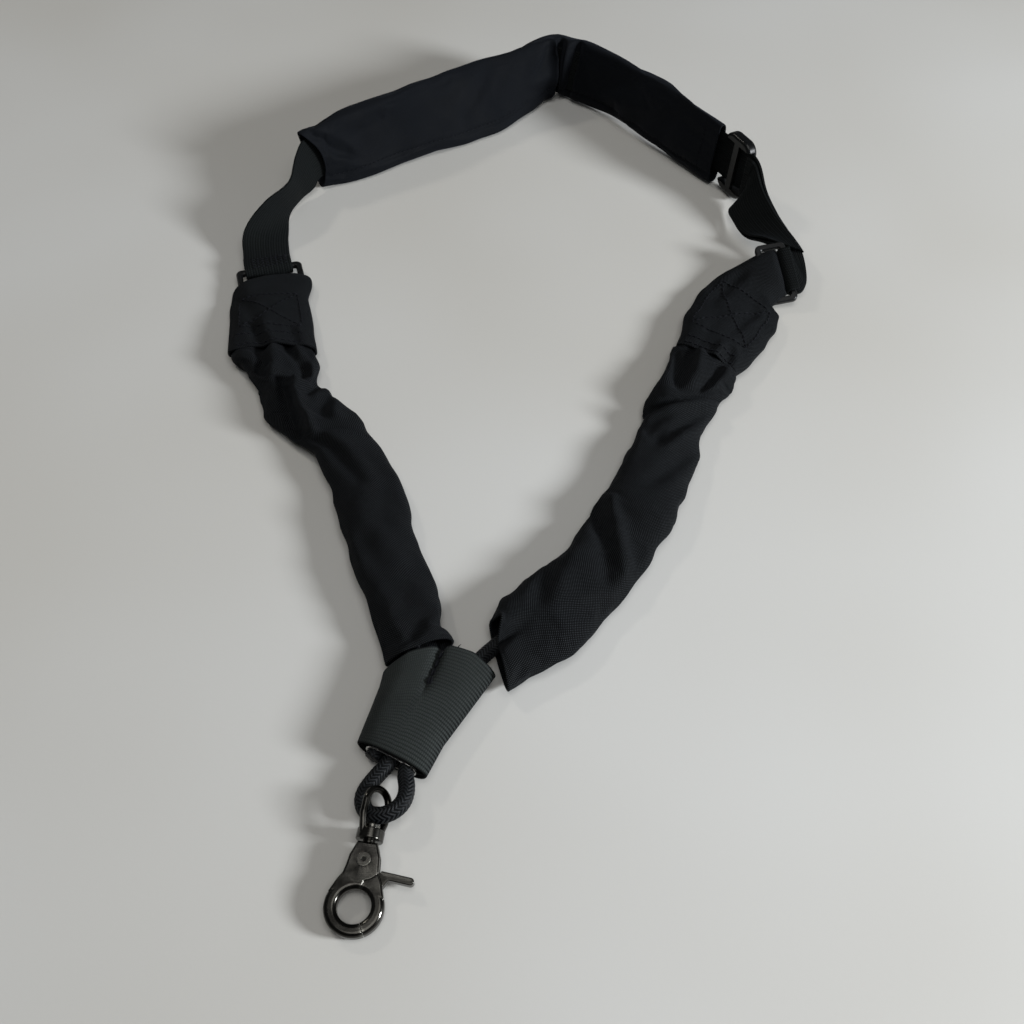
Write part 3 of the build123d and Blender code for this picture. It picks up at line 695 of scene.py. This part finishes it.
def new_material(name, **shader_values):
    material = bpy.data.materials.new(name)
    material.use_nodes = True
    tree = material.node_tree
    shader = next(n for n in tree.nodes if n.type == "BSDF_PRINCIPLED")
    for key, value in shader_values.items():
        shader.inputs[key.replace("_", " ")].default_value = value
    return material, tree, shader


def wire(tree, shader, colour, roughness, height, distance, rounding=0.0):
    tree.links.new(colour, shader.inputs["Base Color"])
    tree.links.new(roughness, shader.inputs["Roughness"])
    bump = add(tree, "Bump", {"Strength": 1.0, "Distance": distance * MM, "Height": height})
    if rounding:
        edge = add(tree, "Bevel", {"Radius": rounding * MM}, samples=4)
        tree.links.new(edge.outputs[0], bump.inputs["Normal"])
    tree.links.new(bump.outputs[0], shader.inputs["Normal"])


def cloth_material(name, dark, light, weave, depth, rough=(0.62, 0.85), sheen=0.05, gloss=0.07):
    """Woven cloth: the colour follows the weave's relief, so yarn tops carry a painted highlight and the
    hollows between them painted shade; the dye and worn patches vary slowly.
    """
    material, tree, shader = new_material(name)
    shader.inputs["Sheen Weight"].default_value = sheen
    shader.inputs["Sheen Roughness"].default_value = 0.45
    shader.inputs["Sheen Tint"].default_value = (0.6, 0.66, 0.8, 1)
    shader.inputs["Specular IOR Level"].default_value = gloss
    u, v = weave_axes(tree)
    height = weave(tree, u, v)
    fuzz = grain(tree, 2600)
    patch = grain(tree, 28, 4.0)
    # painted shade and highlight: the weave's height lightens the yarn tops and darkens the hollows between
    # them
    share = calc(tree, "MULTIPLY", height, scaled(tree, fuzz, 0.3, 0.7, 0.7, 1.3))
    share = calc(tree, "MULTIPLY", share, scaled(tree, patch, 0.3, 0.7, 0.72, 1.18))
    relief = calc(tree, "ADD", height, calc(tree, "MULTIPLY", fuzz, 0.25))
    roughness = scaled(tree, patch, 0.3, 0.7, *rough)
    wire(tree, shader, colours(tree, share, dark, light), roughness, relief, depth)
    return material


def plain_weave(tree, u, v):
    """Coarse filament yarn, over and under: small raised dots in a diamond grid, which the sleeve colours as
    painted highlights, a glint on each yarn.
    """
    one = ridges(tree, calc(tree, "ADD", u, v), WEAVE_DOT)
    other = ridges(tree, calc(tree, "SUBTRACT", u, v), WEAVE_DOT)
    return calc(tree, "POWER", calc(tree, "MULTIPLY", one, other), 1.7)


def brushed(tree, u, v):
    loops = calc(tree, "MULTIPLY", ridges(tree, u, 0.7), ridges(tree, v, 0.55))
    return scaled(tree, loops, 0, 1, 0.3, 0.75)


def ribbed(tree, u, v):
    picks = ridges(tree, calc(tree, "ADD", u, calc(tree, "MULTIPLY", v, 0.25)), 0.9)
    ends = ridges(tree, v, 1.39)
    return calc(tree, "MULTIPLY", scaled(tree, picks, 0, 1, 0.5, 1.0), scaled(tree, ends, 0, 1, 0.35, 1.0))


def arches(tree, value, pitch):
    """Round-topped ribs, 0 to 1, one per pitch in mm."""
    return calc(tree, "ABSOLUTE", calc(tree, "SINE", calc(tree, "MULTIPLY", value, math.pi / (pitch * MM))))


def elastic_knit(tree, u, v):
    # the ribs' height also sets the elastic's colour, so the valleys between ribs carry painted shade
    ribs = calc(tree, "POWER", arches(tree, u, YOKE_LENGTH / YOKE_RIBS), 2.4)
    yarns = scaled(tree, ridges(tree, v, 0.8), 0, 1, 0.6, 1.0)
    return calc(tree, "MULTIPLY", ribs, yarns)


def braid_yarns(tree, u, v):
    """The herringbone of the cord's cover, in step with its mesh; as colour it paints shade into the gaps
    between strands.
    """
    turn = math.pi * CORD_DIAMETER * MM / BRAID_CHEVRONS
    share = calc(tree, "FRACT", calc(tree, "DIVIDE", v, turn))
    zigzag = calc(tree, "ABSOLUTE", calc(tree, "SUBTRACT", calc(tree, "MULTIPLY", share, 2.0), 1.0))
    climb = calc(tree, "MULTIPLY", zigzag, BRAID_SLANT * BRAID_PITCH * MM)
    strands = arches(tree, calc(tree, "ADD", u, climb), BRAID_PITCH)
    threads = scaled(tree, ridges(tree, turned(tree, u, v, 60), 0.45), 0, 1, 0.5, 1.0)
    return calc(tree, "MULTIPLY", calc(tree, "POWER", strands, 2.2), threads)


def foam_cells(tree, _u, _v):
    place = add(tree, "TexCoord").outputs["Object"]
    return add(tree, "TexVoronoi", {"Vector": place, "Scale": 1400.0}).outputs["Distance"]


def metal_material(name, dark, light, rough, wear_and_highlight=0.5):
    """Plated metal with fine scratches, cloudy polish and sharp edges painted paler, as worn plating and a
    painted highlight on the bevels.
    """
    material, tree, shader = new_material(name, Metallic=1.0)
    shader.inputs["Specular IOR Level"].default_value = 0.5
    cloud = grain(tree, 140, 4.0)
    own_place = add(tree, "TexCoord").outputs["Object"]
    stretched = add(tree, "Mapping", {0: own_place, "Scale": (60.0, 900.0, 300.0)}).outputs[0]
    scratches = add(tree, "TexNoise", {"Vector": stretched, "Scale": 3.0, "Detail": 4.0}).outputs["Fac"]
    # sharp edges painted paler: partly worn plating, partly a painted highlight on the bevels
    edge = scaled(tree, add(tree, "NewGeometry").outputs["Pointiness"], 0.51, 0.58, 0, wear_and_highlight)
    share = calc(tree, "ADD", scaled(tree, cloud, 0.35, 0.65, 0.0, 0.1), edge)
    dulled = calc(tree, "ADD", cloud, calc(tree, "MULTIPLY", scratches, 0.5))
    roughness = scaled(tree, dulled, 0.5, 1.0, *rough)
    wire(tree, shader, colours(tree, share, dark, light), roughness, scratches, 0.006, rounding=0.3)
    return material


def plastic_material(name, dark, light):
    """Moulded plastic with a fine spark-eroded grain, paler at its sharp edges."""
    material, tree, shader = new_material(name)
    shader.inputs["Specular IOR Level"].default_value = 0.25
    fine, cloud = grain(tree, 3200), grain(tree, 90)
    # paler where the surface is sharply curved
    edge = scaled(tree, add(tree, "NewGeometry").outputs["Pointiness"], 0.51, 0.6, 0, 0.5)
    share = calc(tree, "ADD", calc(tree, "MULTIPLY", fine, 0.4), edge)
    roughness = scaled(tree, cloud, 0.35, 0.65, 0.26, 0.4)
    wire(tree, shader, colours(tree, share, dark, light), roughness, fine, 0.012, rounding=0.4)
    return material


def make_materials():
    """Each material's dark and light colour, then its weave and relief in mm, or its roughness."""
    return {
        "pad": cloth_material("pad_fabric", (0.0006, 0.0008, 0.0011), (0.0066, 0.0082, 0.0115),
                              brushed, 0.08),
        # the sleeve's light colour on each raised dot is a painted highlight, and the dark between the dots
        # painted shade
        "sleeve": cloth_material("sleeve_fabric", (0.0005, 0.0007, 0.0009), (0.047, 0.053, 0.059),
                                 plain_weave, 0.4, sheen=0.02),
        "webbing": cloth_material("webbing", (0.0006, 0.0008, 0.0008), (0.0075, 0.0092, 0.0094),
                                  ribbed, 0.25, sheen=0.02),
        "elastic": cloth_material("elastic", (0.0008, 0.0011, 0.0011), (0.032, 0.037, 0.036),
                                  elastic_knit, 0.3, sheen=0.02),
        "bungee": cloth_material("bungee", (0.0004, 0.0005, 0.0007), (0.026, 0.029, 0.032),
                                 braid_yarns, 0.22, rough=(0.35, 0.5), sheen=0.0, gloss=0.1),
        "thread": cloth_material("thread", (0.001, 0.001, 0.0014), (0.010, 0.011, 0.014), brushed, 0.05),
        "foam": cloth_material("foam", (0.03, 0.03, 0.033), (0.08, 0.08, 0.088), foam_cells, 0.3),
        "gunmetal": metal_material("gunmetal", (0.028, 0.027, 0.0245), (0.32, 0.31, 0.28), (0.14, 0.2), 0.4),
        "bright": metal_material("bright_plate", (0.45, 0.45, 0.44), (0.75, 0.74, 0.72), (0.16, 0.3)),
        "spring": metal_material("spring_steel", (0.35, 0.35, 0.36), (0.62, 0.62, 0.63), (0.2, 0.35)),
        "plastic": plastic_material("plastic", (0.0015, 0.0018, 0.002), (0.007, 0.0075, 0.008)),
    }


def finish_piece(piece, material, node=None):
    piece.data.materials.append(material)
    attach(piece, "strap")
    if node:
        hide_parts(node)
    return piece


def repaint(node, material):
    node.data.materials.clear()
    node.data.materials.append(material)


# ---- soft pieces -------------------------------------------------------------------------------------------
PAD_CLOTH = Cloth(
    fullness=0.6,
    deepest=4.0,
    ease=0.8,
    creases=(
        ((167, -16), (172, 17), 3.0, 4.6, 1.0),
        ((178, -14), (184, 15), 2.8, 3.6, 0.9),
        ((152, 2), (163, 14), 3.6, 1.6),
        ((148, -8), (166, -12), 3.4, 1.4),
        ((6, 12), (20, -3), 3.4, 2.0),
        ((34, 6), (70, 10), 6.0, 1.2),
        ((98, -3), (112, 8), 4.5, 1.3),
        ((232, -12), (262, 6), 5.0, 1.0),
    ),
    rumples=((38, 2.2, 3.0), (15, 0.8, 8.0)),
    edge_waves=((46, 1.6, 1.0), (17, 0.7, 4.0)),
    seams=((6.5, 1.0), (-5.0, 0.25)),
    lip=(16, 7.0),
)


def make_pad(materials):
    rows, columns = 230, 72
    pad, run = flat_tube("neck_pad", NECK_PAD, rows, columns, PAD_CLOTH)
    settle(pad, end_rows(rows, columns), pressure=1.0, slack=0.03, cap=2.2)
    cloth_wall(pad, COVER_WALL)
    finish_piece(pad, materials["pad"], "neck_pad_cover")
    tree = surface_tree(pad)
    seam = 2 * PAD_SEAM / PAD_SEAM_HEIGHT - 1
    lines = [((0.03, seam), (0.45, seam)), ((0.52, seam), (0.985, seam)), ((0.965, -0.8), (0.965, 0.8))]
    stitches = stitch_rows(tree, run, lines, pitch=2.8, length=2.0, radius=0.2)
    finish_piece(joined_grids("neck_pad_stitching", stitches), materials["thread"])


def make_foam(materials):
    stations = [narrowed(s, FOAM_WIDTH, FOAM_THICK) for s in NECK_PAD[1:-1]]
    foam, _ = ribbon("pad_foam", stations, 90, FOAM_WIDTH, FOAM_THICK, FOAM_LIFT, ribs=0, columns=16)
    finish_piece(foam, materials["foam"], "neck_pad_foam")


def make_webbing(materials):
    right_run = [slider_station(-11), slider_station(0), slider_station(15)] + RIGHT_WEBBING
    stations = wrap_stations(LEFT_RING, LEFT_RING_DEPTH, 15.0) + LEFT_WEBBING
    stations += [narrowed(s, WEBBING_WIDTH, WEBBING_THICK) for s in NECK_PAD[:-1]]
    stations += right_run + wrap_stations(RIGHT_RING, RIGHT_RING_DEPTH, 3.2)[::-1]
    strip, run = ribbon("webbing_strip", stations, 620, WEBBING_WIDTH, WEBBING_THICK)
    length = run.at[-1]
    finish_piece(strip, materials["webbing"], "neck_webbing")
    back_stations = [slider_station(10)] + right_run[2:]
    back, back_run = ribbon("webbing_strip_return", back_stations, 90, RETURN_WIDTH, RETURN_THICK,
                            RETURN_LIFT)
    finish_piece(back, materials["webbing"], "webbing_return")
    shares = [(FOLD_ROWS_START + row * FOLD_ROWS_PITCH) * MM / length for row in range(FOLD_ROWS)]
    stitches = stitch_rows(surface_tree(strip), run, cross_rows(shares, 0.84), pitch=2.4, length=1.9,
                           radius=0.28)
    thread = joined_grids("webbing_stitching", stitches)
    finish_piece(thread, materials["thread"], "webbing_fold_stitching")


def make_tab(side, stations, materials, cloth, lines):
    tab, run = flat_tube(f"{side}_folded_tab", stations, 110, 64, cloth)
    cloth_wall(tab, TAB_WALL)
    finish_piece(tab, materials["sleeve"], f"{side}_tab")
    thread = joined_grids(f"{side}_tab_thread", stitch_rows(surface_tree(tab), run, lines))
    finish_piece(thread, materials["thread"], f"{side}_tab_stitching")


def make_sleeve(side, stations, rows, materials, cloth):
    columns = 64
    sleeve, run = flat_tube(f"{side}_cord_sleeve", stations, rows, columns, cloth)
    settle(sleeve, end_rows(rows, columns), pressure=0.7, slack=0.04, cap=2.0)
    cloth_wall(sleeve, SLEEVE_WALL)
    finish_piece(sleeve, materials["sleeve"], f"{side}_sleeve")


LEFT_TAB_CLOTH = Cloth(
    fullness=0.75, ease=0.7, caps=(3.0, 0), deepest=0.6,
    creases=(
        ((44, -8), (62, -3), 2.8, 2.6),
        ((14, -18), (36, -8), 4.0, 0.8),
        ((46, 10), (62, 13), 2.4, 1.2),
    ),
    rumples=((20, 1.2, 5.0), (8, 0.5, 2.0)),
    edge_waves=((14, 0.8, 2.0),),
    seams=((1.6, 0.3), (-1.6, 0.3)),
)
RIGHT_TAB_CLOTH = Cloth(
    fullness=0.75, ease=0.7, caps=(3.8, 0), deepest=0.3,
    creases=(
        ((36, 8), (74, -2), 3.4, 1.8),
        ((62, -4), (86, 0), 3.0, 2.6),
        ((20, -10), (40, -13), 3.0, 0.9),
        ((70, 8), (84, 14), 2.4, 1.4),
    ),
    rumples=((20, 1.3, 9.0), (8, 0.6, 6.0)),
    edge_waves=((13, 1.6, 5.0),),
    seams=((1.6, 0.3), (-1.6, 0.3)),
)
LEFT_SLEEVE_CLOTH = Cloth(
    fullness=1.0, ease=0.45,
    creases=(
        ((-4, -3), (24, -10), 3.0, 4.0, 0.8),
        ((-2, 6), (20, 12), 2.6, 2.6, 0.8),
        ((8, 17), (22, 10), 2.4, 2.0),
        ((30, -2), (68, -14), 3.0, 5.6, 1.0),
        ((40, 14), (58, 4), 3.0, 2.4, 0.8),
        ((26, 18), (40, 6), 2.6, 2.0, 0.8),
        ((74, -12), (104, -4), 4.5, 1.8),
        ((96, 10), (128, 4), 5.0, 1.5),
        ((140, -8), (176, 0), 5.0, 1.2),
    ),
    rumples=((30, 2.4, 11.0), (11, 0.9, 4.0)),
    edge_waves=((12, 1.8, 3.0), (30, 1.5, 8.0)),
    seams=((1.2, 0.3),),
)
RIGHT_SLEEVE_CLOTH = Cloth(
    fullness=1.0, ease=0.45,
    creases=(
        ((6, -8), (26, -6), 3.0, 3.0, 0.8),
        ((8, 9), (26, 6), 2.6, 2.4, 0.8),
        ((6, -15), (24, -10), 2.6, 1.8),
        ((30, 16), (48, -14), 3.2, 3.4, 0.9),
        ((46, 12), (66, -2), 3.4, 2.6, 0.8),
        ((70, 14), (92, 2), 4.0, 1.8),
        ((116, -16), (150, 8), 3.6, 3.0, 0.9),
        ((150, -17), (176, -6), 4.0, 1.8),
    ),
    rumples=((30, 2.4, 21.0), (11, 0.9, 14.0)),
    edge_waves=((12, 1.8, 13.0), (30, 1.5, 6.0)),
    seams=((1.2, 0.3),),
    curl=26.0,
)


def crossed_box(start, end, across):
    """A stitched box with both diagonals."""
    corners = [(start, across), (end, across), (end, -across), (start, -across)]
    sides = list(zip(corners, corners[1:] + corners[:1]))
    return sides + [(corners[0], corners[2]), (corners[1], corners[3])]


def cross_rows(shares, across=0.82):
    """Rows of stitches straight across, at those shares of the length."""
    return [((share, -across), (share, across)) for share in shares]


def make_tabs_and_sleeves(materials):
    left_rows = crossed_box(0.3, 0.74, 0.74) + cross_rows([0.83, 0.95])
    right_rows = crossed_box(0.34, 0.8, 0.74) + cross_rows([0.9, 0.965])
    make_tab("left", LEFT_TAB, materials, LEFT_TAB_CLOTH, left_rows)
    make_tab("right", RIGHT_TAB, materials, RIGHT_TAB_CLOTH, right_rows)
    make_sleeve("left", LEFT_SLEEVE, 170, materials, LEFT_SLEEVE_CLOTH)
    make_sleeve("right", RIGHT_SLEEVE, 190, materials, RIGHT_SLEEVE_CLOTH)


def polyline(points, shares):
    """Points at those shares of a polyline's length."""
    points = np.array(points, float)
    at = arc_length(points)
    return np.stack([np.interp(shares * at[-1], at, points[:, j]) for j in range(points.shape[1])], -1)


def yoke_plan(s, t):
    """The yoke's outline filled in, for shares s along and t across."""
    top, bottom = polyline(YOKE_TOP, t), polyline([YOKE_LEFT[-1], YOKE_RIGHT[-1]], t)
    left, right = polyline(YOKE_LEFT, s), polyline(YOKE_RIGHT, s)
    along, across = s[:, None, None], t[None, :, None]
    sides = (1 - across) * left[:, None] + across * right[:, None]
    ends = (1 - along) * top[None] + along * bottom[None]
    upper_corners = (1 - across) * left[0] + across * right[0]
    lower_corners = (1 - across) * left[-1] + across * right[-1]
    return sides + ends - ((1 - along) * upper_corners + along * lower_corners)


def yoke_height(along, across):
    """Half the yoke's thickness: ribbed, with a valley between its two lobes."""
    bulge = np.sqrt(np.maximum(1 - np.abs(2 * across - 1) ** 2.4, 0))
    fade = np.clip(1 - along / 0.5, 0, 1)
    valley = 0.8 * fade * bell(across, 0.5 + 0.1 * along, 0.045 + 0.05 * along)
    lobes = 1 - valley + 0.06 * fade * np.cos((across - 0.25) * 4 * math.pi)
    mouth = 1 - 0.12 * np.clip((along - 0.85) / 0.15, 0, 1) ** 2
    rib = YOKE_RIB * np.abs(np.sin(along * YOKE_RIBS * math.pi)) * np.clip(bulge * 2, 0, 1)
    return YOKE_HALF_HEIGHT * bulge * lobes * mouth - 0.3 + rib


def yoke_stitches(tree):
    """Two rows of thread down the valley, and a cut thread tail."""
    landed = [dropped(tree, layout((x, y, YOKE_MID_Z)), np.array([0, 0, 1.0]))[0] for x, y in YOKE_SEAM]
    arch = 0.4 * MM * np.cos(np.linspace(-1.5, 1.5, 7))
    grids = []
    for side in (-0.5, 0.5):
        for a, b in zip(landed, landed[1:]):
            path = a + (b - a) * np.linspace(0.05, 0.95, 7)[:, None] + np.array([side, 0, 0.35]) * MM
            path[:, 2] += arch
            grids.append(thread_tube(path, YOKE_THREAD_RADIUS * MM))
    return grids + [thread_tube(layout(YOKE_TAIL), 0.22 * MM)]


def make_yoke(materials):
    """A ribbed elastic tube between four outline curves, drawn into two lobes at its upper end."""
    s = np.linspace(0, 1, YOKE_RIBS * 8)
    t = (1 - np.cos(np.linspace(0, math.pi, 60))) / 2
    plan, height = yoke_plan(s, t), yoke_height(s[:, None], t[None])
    upper = np.dstack([plan, YOKE_MID_Z + height])
    lower = np.dstack([plan, YOKE_MID_Z - height])[:, ::-1]
    points = layout(np.concatenate([upper, lower], axis=1))
    yoke = grid_piece("yoke_elastic", points, weave_uv(points, s * YOKE_LENGTH * MM))
    plain_wall(yoke, YOKE_WALL)
    finish_piece(yoke, materials["elastic"], "yoke_sleeve")
    thread = joined_grids("yoke_thread", yoke_stitches(surface_tree(yoke)))
    finish_piece(thread, materials["thread"], "yoke_stitching")


def make_cords(materials):
    left = braided_cord("bungee_cord_left", layout(LEFT_CORD))
    finish_piece(left, materials["bungee"], "bungee_left")
    route = RIGHT_CORD + snap_points(CORD_LOOP) + LOOP_TAIL
    right = braided_cord("bungee_cord_right", layout(route))
    finish_piece(right, materials["bungee"], "bungee_right")


# ---- setting -----------------------------------------------------------------------------------------------
def make_table():
    """A pale, matt table top, slightly mottled."""
    bpy.ops.mesh.primitive_plane_add(size=6, location=(0, 0, 0))
    floor = bpy.context.object
    floor.name = "table_top"
    material, tree, shader = new_material("table_top")
    cloud, fine = grain(tree, 3.0, 2.0), grain(tree, 420)
    mottle = scaled(tree, cloud, 0.35, 0.65, 0.1, 0.9)
    share = calc(tree, "ADD", mottle, calc(tree, "MULTIPLY", fine, 0.08))
    colour = colours(tree, share, (0.50, 0.49, 0.46), (0.56, 0.56, 0.545))
    wire(tree, shader, colour, scaled(tree, cloud, 0.35, 0.65, 0.55, 0.65), fine, 0.02)
    floor.data.materials.append(material)


def area_light(name, at, towards, size, power, colour):
    light = bpy.data.lights.new(name, "AREA")
    light.shape = "DISK"
    light.size = size
    light.energy = power
    light.color = colour
    lamp = bpy.data.objects.new(name, light)
    lamp.location = at
    lamp.rotation_euler = (Vector(towards) - Vector(at)).to_track_quat("-Z", "Y").to_euler()
    bpy.context.scene.collection.objects.link(lamp)


def make_lights():
    area_light("cool_key", (1.4, -0.5, 0.6), (0, 0, 0), 0.35, 36.1, (0.94, 0.97, 1.0))
    area_light("warm_key", (-0.95, 0.85, 1.15), (0, 0, 0), 0.16, 3.0, (1.0, 0.95, 0.86))
    area_light("top_soft", (0.2, -0.5, 1.9), (0, 0, 0), 1.6, 14.7, (1.0, 0.99, 0.97))
    world = bpy.data.worlds.new("room")
    world.use_nodes = True
    background = world.node_tree.nodes["Background"]
    background.inputs["Color"].default_value = (0.95, 0.97, 1.0, 1)
    background.inputs["Strength"].default_value = 0.08
    bpy.context.scene.world = world


def make_camera():
    camera = bpy.data.cameras.new("camera")
    camera.lens = CAMERA_LENS
    camera.sensor_width = 36
    camera.clip_start = 0.01
    holder = bpy.data.objects.new("camera", camera)
    holder.location = CAMERA_AT
    holder.rotation_euler = (CAMERA_TILT, 0, 0)
    bpy.context.scene.collection.objects.link(holder)
    bpy.context.scene.camera = holder


def paint_hard_parts(nodes, materials):
    finishes = {
        "slider": "plastic", "left_ring": "plastic", "right_ring": "plastic", "yoke_crimp": "bright",
        "left_bungee_clamp": "gunmetal", "right_bungee_clamp": "gunmetal", "swivel_eye": "gunmetal",
        "hook_body": "gunmetal", "trigger": "gunmetal", "rivet": "gunmetal", "trigger_spring": "spring",
    }
    for node, finish in finishes.items():
        repaint(nodes[node], materials[finish])


# ---- the scene ---------------------------------------------------------------------------------------------
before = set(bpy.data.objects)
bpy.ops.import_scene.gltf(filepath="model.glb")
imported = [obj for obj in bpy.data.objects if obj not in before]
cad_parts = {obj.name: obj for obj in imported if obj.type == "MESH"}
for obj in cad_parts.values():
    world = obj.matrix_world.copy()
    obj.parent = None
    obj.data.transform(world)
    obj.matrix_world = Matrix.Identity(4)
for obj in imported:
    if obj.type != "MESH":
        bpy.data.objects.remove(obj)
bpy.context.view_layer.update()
bpy.context.scene.view_settings.view_transform = "Standard"
make_camera()
finishes = make_materials()
make_cords(finishes)
make_webbing(finishes)
make_foam(finishes)
make_pad(finishes)
make_tabs_and_sleeves(finishes)
make_yoke(finishes)
paint_hard_parts(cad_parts, finishes)
make_table()
make_lights()
